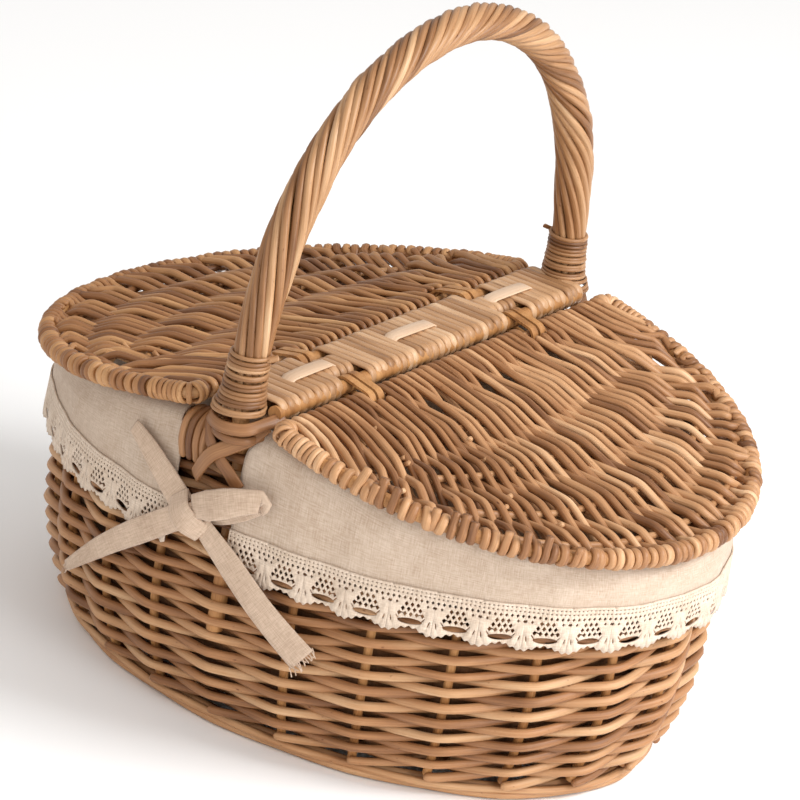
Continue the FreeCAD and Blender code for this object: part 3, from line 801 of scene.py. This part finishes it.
def flat_strip(rods, places, width, thick, back, tone=None, up=None, square=0.6):
    """Skein through places (x, y, z) at the front foot, or turned for the back foot."""
    path = smooth_path(places, 30, axes=3)
    out = path - np.array([0, -(FOOT_Y - 14), 0])
    out[:, 2] = np.maximum(0, path[:, 2] - 172) * 0.6
    out[:, 0] *= 0.35
    out = unit(out) if up is None else np.array(up)
    rods.sweep(flip(path, back), width, thick, up=flip(out, back), square=square, tone=tone)


def build_lashing(back):
    """Crossed skeins, rods and strips that hold the foot of the handle to the rim."""
    rods = Rods()
    y = -(RIM_A - WIDTH_STEP)
    down_right = [(-14, y + 3, 180), (-17, y - 4, 174.5), (-13, y - 7.5, 168), (-7, y - 8.2, 161),
                  (3, y - 7, 152), (8, y - 5.2, 146)]
    down_left = [(14, y + 2, 181), (10, y - 5, 174), (1, y - 8.5, 167), (-7, y - 9.8, 161),
                 (-16, y - 7.5, 148), (-19, y - 5.5, 143)]
    upper_band = [(-15, y + 2, 181), (-12, y - 11, 180.5), (0, y - 16, 180), (11, y - 12, 181),
                  (16, y - 2, 183.5), (19, y + 9, 186)]
    lower_band = [(-14, y + 1, 174), (-10, y - 9, 173.5), (0, y - 13, 173), (10, y - 9.5, 173.5),
                  (14, y + 1, 175)]
    flat_strip(rods, down_right, 8.0, 1.6, back, 0.25)
    flat_strip(rods, down_left, 8.0, 1.6, back, 0.45)
    flat_strip(rods, upper_band, 6.6, 1.5, back, 0.35)
    flat_strip(rods, lower_band, 4.2, 1.4, back, 0.2)
    for k in range(4):
        x = -29 + 4.4 * k
        path = [(x + 3, y + 11, 168), (x + 1.5, y + 5, saddle(x) + 1.6), (x, y - 4, 171),
                (x - 0.5, y - 6, 162), (x, y - 4.0, 151)]
        flat_strip(rods, path, 4.6, 4.4, back, up=(-1, 0, 0.2), square=1.0)
    end = end_name(back)
    rods.build("foot_lashing_" + end, BROWN_SKEIN, "split_skein", ["handle_lashing_" + end])


# ---- bridge ----
def racetrack(half_width, half_height, corner):
    """Closed rounded rectangle in x and z with outward directions."""
    points, outs = [], []
    for cx, cz, first in ((1, 1, 0), (-1, 1, 90), (-1, -1, 180), (1, -1, 270)):
        for a in np.radians(np.linspace(first, first + 90, 10)):
            points.append((cx * (half_width - corner) + corner * math.cos(a), 0,
                           cz * (half_height - corner) + corner * math.sin(a)))
            outs.append((math.cos(a), 0, math.sin(a)))
    return np.array(points), np.array(outs)


def build_bridge_wraps():
    """Skein wound round the bridge, drawn in where the hinge loops need room."""
    rods = Rods()
    low, high = mm_box("bridge_wrap")
    half_height = (high[2] - low[2]) / 2
    middle = (high[2] + low[2]) / 2
    notch = mm_box("lid_right_hinge_loops")[1][1] - HINGE_Y + 1.6
    y = -138.0
    while y < 137.0:
        width = rng.uniform(5.0, 6.2)
        y_mid = y + width / 2
        y += width + 0.12
        narrow = any(abs(y_mid - s * HINGE_Y) < notch + width / 2 for s in (-1, 1))
        half = 8.3 if narrow else high[0] - 1.2 + rng.normal(0, 0.25)
        points, outs = racetrack(half, half_height - 1.2, 4.2 if narrow else 4.6)
        skew = rng.normal(0.035, 0.02)
        points[:, 1] = y_mid + points[:, 0] * skew
        points[:, 2] += middle + rng.normal(0, 0.12)
        rods.sweep(points, width, 2.5, up=outs, closed=True, square=0.85)
    rods.build("bridge_wraps", PALE_SKEIN, "split_skein", ["bridge_wrap"])


def build_bridge_skeins():
    """Three pale strips that lie along the bridge and dive under the wraps at both ends."""
    strips = Rods()
    top = mm_box("bridge_wrap")[1][2]
    t = np.array([-24, -20, -16, -8, 0, 8, 16, 20, 24.0])
    z = top + np.array([-3.2, -1.4, 0.7, 1.0, 1.1, 1.0, 0.7, -1.4, -3.2])
    width = np.array([6.5, 7.5, 8.6, 9.3, 9.5, 9.3, 8.6, 7.5, 6.5])
    for centre in (-92.0, 0.0, 92.0):
        lean = rng.normal(0.03, 0.02)
        path = np.stack([lean * t + rng.normal(0, 0.8), centre + t, z], -1)
        strips.sweep(path, width, 1.5, up=(0, 0, 1), square=0.6, tone=0.85)
    strips.build("bridge_skeins", STRIP_SKEIN, "split_skein", ["bridge_strips"])


# ---- lids ----
WEAVERS = 88
RIB_BOWS = [WRAP_R, 15.0, 48.5, 88.5, 128.5, 160.0, LID_TIP - EDGE_U - WRAP_R]
LAST_RIB = len(RIB_BOWS) - 1
RIB_SPACE = 19.0
CORNER_R, CORNER_WRAP = 9.0, 32.0
EDGE_RING, HOOP_RING = 3.8, 4.1
RIB_LIFT = np.array([EDGE_RING, 3.6, 3.6, 3.6, 3.6, 3.4, 2.9])
CURVE = 2.25
STEPS = 70


def hoop_line(count):
    """Lid hoop's middle line (u, y) at even lengths, front corner to back corner, and its length."""
    corner = CORNER_R - WRAP_R
    a = np.linspace(np.pi, 1.5 * np.pi, 8)
    near = np.stack([EDGE_U + CORNER_R + corner * np.cos(a), -HOOP_HALF + corner + corner * np.sin(a)], -1)
    b = np.linspace(-np.pi / 2, np.pi / 2, 160)
    bow = np.stack([HOOP_BOW + HOOP_HALF * np.cos(b), HOOP_HALF * np.sin(b)], -1)
    near = join([near[:1] + np.array([0, 5.0]), near])
    far = near[::-1] * np.array([1, -1])
    line = join([near, bow, far])
    length = travel_along(line)
    at = np.linspace(0, length[-1], count)
    return np.stack([np.interp(at, length, line[:, 0]), np.interp(at, length, line[:, 1])], -1), length[-1]


HOOP_TABLE, HOOP_LENGTH = hoop_line(500)


def hoop_spot(at):
    """Place (u, y), outward direction and forward direction at a length along the hoop."""
    grid = np.linspace(0, HOOP_LENGTH, len(HOOP_TABLE))
    spot, ahead, behind = (np.stack([np.interp(at + step, grid, HOOP_TABLE[:, k]) for k in (0, 1)], -1)
                           for step in (0, 1, -1))
    along = unit(ahead - behind)
    return spot, np.stack([along[..., 1], -along[..., 0]], -1), along


def round_hoop(side, spot, ring, turn, drift):
    """Path round the hoop's rod at a spot, drifting along it, and the path of its middle."""
    centre, out, along = spot
    middle = centre + np.asarray(drift)[:, None] * along
    flat = middle + ring * np.cos(turn)[:, None] * out
    return (lid_place(side, flat[:, 0], flat[:, 1], ring * np.sin(turn)),
            lid_place(side, middle[:, 0], middle[:, 1], 0.0))


def hoop_at(share):
    """The same for a weaver's share of the hoop between the corner wraps."""
    return hoop_spot(CORNER_WRAP + share * (HOOP_LENGTH - 2 * CORNER_WRAP))


def fan(j, t):
    """Place (u, y) on weaver j, which may lie between two weavers, at share t of its length."""
    share = np.clip((j + 0.5) / WEAVERS, 0.0, 1.0)
    end, _, _ = hoop_at(share)
    start = np.stack([np.full_like(share, EDGE_U + WRAP_R), (LID_HALF - 12.0) * (2 * share - 1)], -1)
    span = end - start
    length = np.linalg.norm(span, axis=-1, keepdims=True)
    one = start + np.stack([length[..., 0] * 0.36, 0 * share], -1)
    two = end - span * 0.30
    t = t[..., None]
    return start * (1 - t) ** 3 + 3 * one * t * (1 - t) ** 2 + 3 * two * t * t * (1 - t) + end * t ** 3


def rib_index(u, y):
    """Which rib a place is on, as a number that grows evenly between ribs."""
    bulge = np.clip(1 - np.abs(y / (LID_HALF - 4.0)) ** CURVE, 0.05, 1) ** (1 / CURVE)
    return np.interp((u - EDGE_U) / bulge, RIB_BOWS, np.arange(len(RIB_BOWS)))


def lid_signs(side, units):
    """Over (+1) or under (-1) for each weaver at the edge and each rib; and 1 for ends turned over the hoop."""
    group = np.zeros(WEAVERS, int)
    j, number = 0, 0
    while j < WEAVERS:
        size = rng.choice(units)
        group[j:j + size] = number
        j, number = j + size, number + 1
    over = np.array([(np.arange(WEAVERS) + 1 if k < 2 else group + k) % 2 for k in range(len(RIB_BOWS))])
    far_side = np.arange(WEAVERS) > (34 if side < 0 else 60)
    at_hoop = np.where(far_side & (rng.random(WEAVERS) < 0.9), 1, 0)
    return over * 2 - 1, at_hoop


def rod_spread(signs):
    """Sideways shift of each weaver at each rib, so that the rods above lie evenly, as do those below."""
    spread = np.zeros(signs.shape)
    for k in range(LAST_RIB):
        for sign in (-1, 1):
            members = np.flatnonzero(signs[k] == sign)
            target = (np.arange(len(members)) + 0.5) * WEAVERS / len(members) - 0.5
            spread[k, members] = 0.62 * (target - members)
    return spread


def hoop_end(side, j, sign, size, poke):
    """Turn of a weaver's end round the hoop: path, up directions, widths, heights, painted shade (none)."""
    stop = -150.0 + rng.uniform(0, 25)
    if sign < 0:
        stop = -118.0 + rng.uniform(-12, 14)
    turn = np.radians(np.linspace(138.0, stop, 15)) * sign
    ring = HOOP_RING + rng.uniform(-0.3, 0.5)
    drift = np.linspace(0, 1, 15) * rng.normal(0, 1.5)
    path, middle = round_hoop(side, hoop_at(np.array((j + 0.5) / WEAVERS)), ring, turn, drift)
    up = (path - middle) * sign
    if poke > 0:
        keep = turn < math.radians(rng.uniform(20, 60))
        path, up = path[keep], up[keep]
        ahead = lid_normal(side) + 0.4 * unit(path[-1] - path[-2]) + rng.normal(0, 0.08, 3)
        path = join([path, path[-1] + np.array([0.35, 0.7, 1.0])[:, None] * poke * ahead])
        up = join([up, np.repeat(up[-1:], 3, 0)])
    wide = np.full(len(path), rng.uniform(4.4, 5.2))
    wide[0] = size
    high = np.full(len(path), rng.uniform(2.9, 3.4))
    high[0] = size * 0.85
    return path, up, wide, high, np.zeros(len(path))


def edge_loop(side, y, size):
    """Turn of a weaver's start round the edge rod: path, up directions, widths, heights, painted shade (none).
    """
    bend = np.radians(np.linspace(275, 100, 11))
    loop = lid_place(side, EDGE_U + WRAP_R + EDGE_RING * np.cos(bend), y, EDGE_RING * np.sin(bend))
    up = loop - lid_place(side, EDGE_U + WRAP_R, y, 0.0)
    return loop, up, np.full(11, size * 1.1), np.full(11, size * 0.9), np.zeros(11)


def weaver_line(side, j, signs, at_hoop, spread):
    """Weaver's places (u, y), heights and travel between the edge and the hoop, and its sign at the hoop."""
    t = np.linspace(0, 1, STEPS)
    flat = fan(np.full(STEPS, float(j)), t)
    travel = travel_along(flat)
    index = rib_index(flat[:, 0], flat[:, 1])
    last = int(np.clip(round(travel[-1] / RIB_SPACE), 1, LAST_RIB))
    index = (index - index[0]) / max(index[-1] - index[0], 0.1) * last
    k = np.clip(np.floor(index).astype(int), 0, LAST_RIB - 1)
    ease = 0.5 - 0.5 * np.arcsin(0.95 * np.cos(np.pi * (index - k))) / math.asin(0.95)
    heights = signs * RIB_LIFT
    if signs[0] < 0 and last > 1:
        heights[:2] = 0.4 if side > 0 else -1.2
    end_sign = at_hoop or signs[last]
    heights[last] = end_sign * RIB_LIFT[-1]
    n = heights[k] * (1 - ease) + heights[k + 1] * ease
    shift = spread[k] * (1 - ease) + spread[k + 1] * ease
    shift = shift * np.clip(t * 12, 0, 1) * np.clip((1 - t) * 12, 0, 1)
    return fan(j + shift, t), n, travel, end_sign


def add_weaver(rods, side, j, signs, at_hoop, spread):
    """Weaver j of a lid, from the edge rod or a hinge gap to its turn round the hoop."""
    flat, n, travel, end_sign = weaver_line(side, j, signs, at_hoop, spread)
    flat[:, 1] += wobble(STEPS, 6, 0.35)
    size = np.interp(np.linspace(0, 1, STEPS), [0, 0.3, 1], [3.5, 4.0, 4.4])
    size = size * (1 + rng.normal(0, 0.08)) * (1 + wobble(STEPS, 5, 0.03))
    keep = travel < travel[-1] - 3.0
    hinge_gap = any(abs(flat[0, 1] - s * HINGE_Y) < 8.5 for s in (-1, 1))
    if hinge_gap:
        keep &= flat[:, 0] > 20.0
    points = lid_place(side, flat[keep, 0], flat[keep, 1], n[keep])
    up = np.repeat(lid_normal(side)[None], len(points), 0)
    # Painted shade where the weaver dips under a rib, from its depth below the lid.
    sections = [(points, up, size[keep], size[keep], np.clip(-n[keep] / 4.0, 0, 1) * 0.8)]
    if not hinge_gap and signs[0] > 0:
        sections.insert(0, edge_loop(side, flat[0, 1], size[keep][0]))
    near = side > 0 and 3 < j < 27
    poke = rng.uniform(3.0, 7.5) if near and end_sign < 0 and rng.random() < 0.85 else 0.0
    sections.append(hoop_end(side, j, end_sign, size[-1], poke))
    points, up, wide, high, painted_shade = (join(values) for values in zip(*sections))
    rods.sweep(points, wide, high, up=up, painted_shade=painted_shade, square=0.92, dome=poke == 0)


def add_broken_ends(rods, side):
    """Short ends of joined rods that stand up out of the weave."""
    for _ in range(10 if side > 0 else 5):
        j = rng.integers(4, 30) if rng.random() < 0.7 else rng.integers(0, WEAVERS)
        t = np.array([rng.uniform(0.2, 0.85)])
        ahead = fan(np.array([float(j)]), t + 0.03)[0]
        u, y = fan(np.array([float(j)]), t)[0]
        du, dy = unit(ahead - (u, y))
        ends = [lid_place(side, u + k * du, y + k * dy, n) for k, n in ((-4, -1.0), (-1, 2.2), (0.4, 4.0))]
        rods.sweep(ends, 2.7, up=lid_normal(side), tone=0.9, dome=False)


def add_corner_wraps(rods, side):
    """Narrow flat wraps round the hoop at both of the lid's corners."""
    for start in (0.0, HOOP_LENGTH - CORNER_WRAP):
        at = start + 0.4
        while at < start + CORNER_WRAP - 1.0:
            width = rng.uniform(2.7, 3.5)
            turn = TURN * np.arange(22) / 22
            radius = 4.6 + rng.normal(0, 0.12)
            skew = rng.normal(0.4, 0.4) * np.sin(turn)
            path, middle = round_hoop(side, hoop_spot(at + width / 2), radius, turn, skew)
            rods.sweep(path, width, 2.3, up=path - middle[0], closed=True, square=0.75,
                       tone=rng.uniform(0.6, 1.0))
            at += width + 0.1


def build_ribs(side, name, material):
    """Bowed ribs under the weave, thinner and lower towards their ends, with painted shade for lying under the
    weave.
    """
    ribs = Rods()
    for bow in RIB_BOWS[1:-1]:
        y = np.linspace(-136, 136, 90)
        full = np.clip((136 - np.abs(y)) / 34, 0, 1)
        u = EDGE_U + bow * (1 - np.abs(y / (LID_HALF - 4.0)) ** CURVE) ** (1 / CURVE)
        ribs.sweep(lid_place(side, u, y, -2.4 * (1 - full)), 2.0 + 2.0 * full, up=lid_normal(side), painted_shade=0.3)
    ribs.build(name + "_rib_rods", material, "willow_lid", [name + "_ribs"], body=name)


def build_edge(side, name, material):
    """Straight rod along the hinge side."""
    edge = Rods()
    reach = LID_HALF - 14.0
    line = lid_place(side, np.full(30, EDGE_U + WRAP_R), np.linspace(-reach, reach, 30), 0.0)
    edge.sweep(line, 4.2, up=lid_normal(side))
    edge.build(name + "_edge", material, "willow_lid", [name + "_edge_rod"], body=name)


def build_lid(side, name, material, units):
    """Lid of rods woven over and under its ribs in groups, with their ends turned round the hoop."""
    rods = Rods()
    signs, at_hoop = lid_signs(side, units)
    spread = rod_spread(signs)
    for j in range(WEAVERS):
        add_weaver(rods, side, j, signs[:, j], at_hoop[j], spread[:, j])
    add_broken_ends(rods, side)
    add_corner_wraps(rods, side)
    core = HOOP_TABLE[::5]
    rods.sweep(lid_place(side, core[:, 0], core[:, 1], 0.0), 6.4, up=lid_normal(side))
    rods.build(name + "_rods", material, "willow_lid", [name + "_weave", name + "_hoop_wrap"], body=name)
    build_ribs(side, name, material)
    build_edge(side, name, material)


# ---- build all pieces ----
build_side_weave()
build_rim()
build_foot()
build_base()
build_bag()
lace = lace_repeat()
for side, end in ((1, "right"), (-1, "left")):
    build_skirt(side, end)
    build_lace(side, end, lace)
for back in (False, True):
    build_tie(back)
    build_binding(back)
    build_lashing(back)
build_handle()
build_bridge_wraps()
build_bridge_skeins()
build_lid(1, "lid_right", RIGHT_WILLOW, [1, 1, 2])
build_lid(-1, "lid_left", LEFT_WILLOW, [2, 3, 3, 4])

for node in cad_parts.values():
    if node.hide_render:
        continue
    for part in node.material_slots:
        part.link = "OBJECT"
        part.material = PLAIN_WILLOW
    if not node.material_slots:
        node.data.materials.append(PLAIN_WILLOW)


# ---- floor, light and camera ----
def build_floor():
    mesh = bpy.data.meshes.new("floor")
    corners = [(x, y, -0.0005) for x, y in ((-6, -6), (6, -6), (6, 6), (-6, 6))]
    mesh.from_pydata(corners, [], [(0, 1, 2, 3)])
    mesh.materials.append(Nodes("floor_paint").finish(Base_Color=(0.96, 0.96, 0.96, 1), Roughness=0.9))
    add_to_scene("floor", mesh)


def build_world():
    world = bpy.data.worlds.new("studio")
    bpy.context.scene.world = world
    world.use_nodes = True
    background = world.node_tree.nodes["Background"]
    background.inputs[0].default_value = (1.0, 0.98, 0.96, 1)
    background.inputs[1].default_value = 0.72


def lamp(name, spot, target, size, power, colour):
    data = bpy.data.lights.new(name, "AREA")
    data.size = size
    data.energy = power
    data.color = colour
    thing = add_to_scene(name, data)
    thing.location = spot
    thing.rotation_euler = (Vector(target) - Vector(spot)).to_track_quat("-Z", "Y").to_euler()


def build_camera(azimuth, elevation, roll, target, shift):
    """Camera turned from the front, raised and rolled; shift is right, up and back from the target."""
    turn = Matrix.Rotation(azimuth, 3, "Z") @ Matrix.Rotation(math.pi / 2 - elevation, 3, "X")
    turn = turn @ Matrix.Rotation(roll, 3, "Z")
    data = bpy.data.cameras.new("camera")
    data.lens = 212.9
    data.sensor_width = 36
    camera = add_to_scene("camera", data)
    camera.matrix_world = Matrix.Translation(Vector(target) + turn @ Vector(shift)) @ turn.to_4x4()
    bpy.context.scene.camera = camera


bpy.context.scene.view_settings.view_transform = "Standard"
build_floor()
build_world()
lamp("key", (1.45, 0.45, 1.5), (0, 0, 0.15), 0.8, 34, (0.98, 0.99, 1.0))
lamp("side", (1.9, -0.5, 0.65), (0.05, 0, 0.1), 0.7, 17, (0.97, 0.985, 1.0))
lamp("fill", (0.3, -2.0, 1.3), (0, 0, 0.12), 1.4, 7, (1.0, 0.94, 0.88))
build_camera(azimuth=0.552, elevation=0.395, roll=0.173,
             target=(0, 0, 0.150), shift=(0.00155, 0.00316, 2.5))
